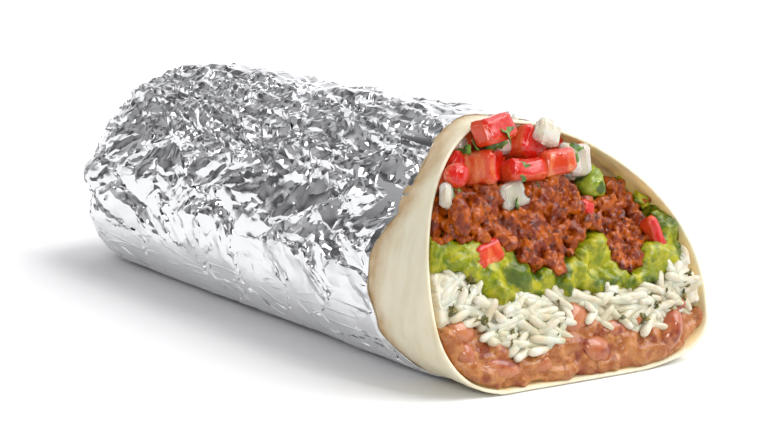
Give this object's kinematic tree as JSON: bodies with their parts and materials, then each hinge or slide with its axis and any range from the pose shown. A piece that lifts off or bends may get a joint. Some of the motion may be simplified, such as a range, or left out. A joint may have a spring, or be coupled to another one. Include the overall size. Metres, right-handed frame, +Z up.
{
  "type": "burrito",
  "caption": "Flour tortilla burrito cut across at one end, with its closed end wrapped in crumpled foil and its layered filling showing at the cut.",
  "frame": {"origin": "under the middle of the whole burrito, on the surface it lies on", "axes": "+Y along the burrito from the cut face to the closed foil-wrapped end, +Z up, +X to the right when looking at the cut"},
  "size_m": [0.0808, 0.205, 0.062],
  "materials": {
    "foil": "bright household foil, crumpled",
    "tortilla": "soft pale flour dough, toasted in places",
    "refried_beans": "moist mash",
    "rice": "steamed grains, slightly moist",
    "guacamole": "soft, moist",
    "seasoned_crumble": "saucy, glossy granules",
    "tomato": "wet cut flesh and skin",
    "onion": "wet, slightly clear",
    "whole_bean": "moist skin"
  },
  "bodies": {
    "root": {"foil": "foil", "tortilla": "tortilla", "beans": "refried_beans", "rice": "rice", "guacamole": "guacamole", "crumble": "seasoned_crumble", "salsa": "tomato", "tomato_1": "tomato", "tomato_2": "tomato", "tomato_3": "tomato", "tomato_4": "tomato", "tomato_5": "tomato", "tomato_6": "tomato", "tomato_7": "tomato", "tomato_8": "tomato", "onion_1": "onion", "onion_2": "onion", "onion_3": "onion", "onion_4": "onion", "onion_5": "onion", "pepper_1": "tomato", "pepper_2": "tomato", "pepper_3": "tomato", "guacamole_lump": "guacamole", "whole_bean_1": "whole_bean", "whole_bean_2": "whole_bean"}
  },
  "joints": []
}
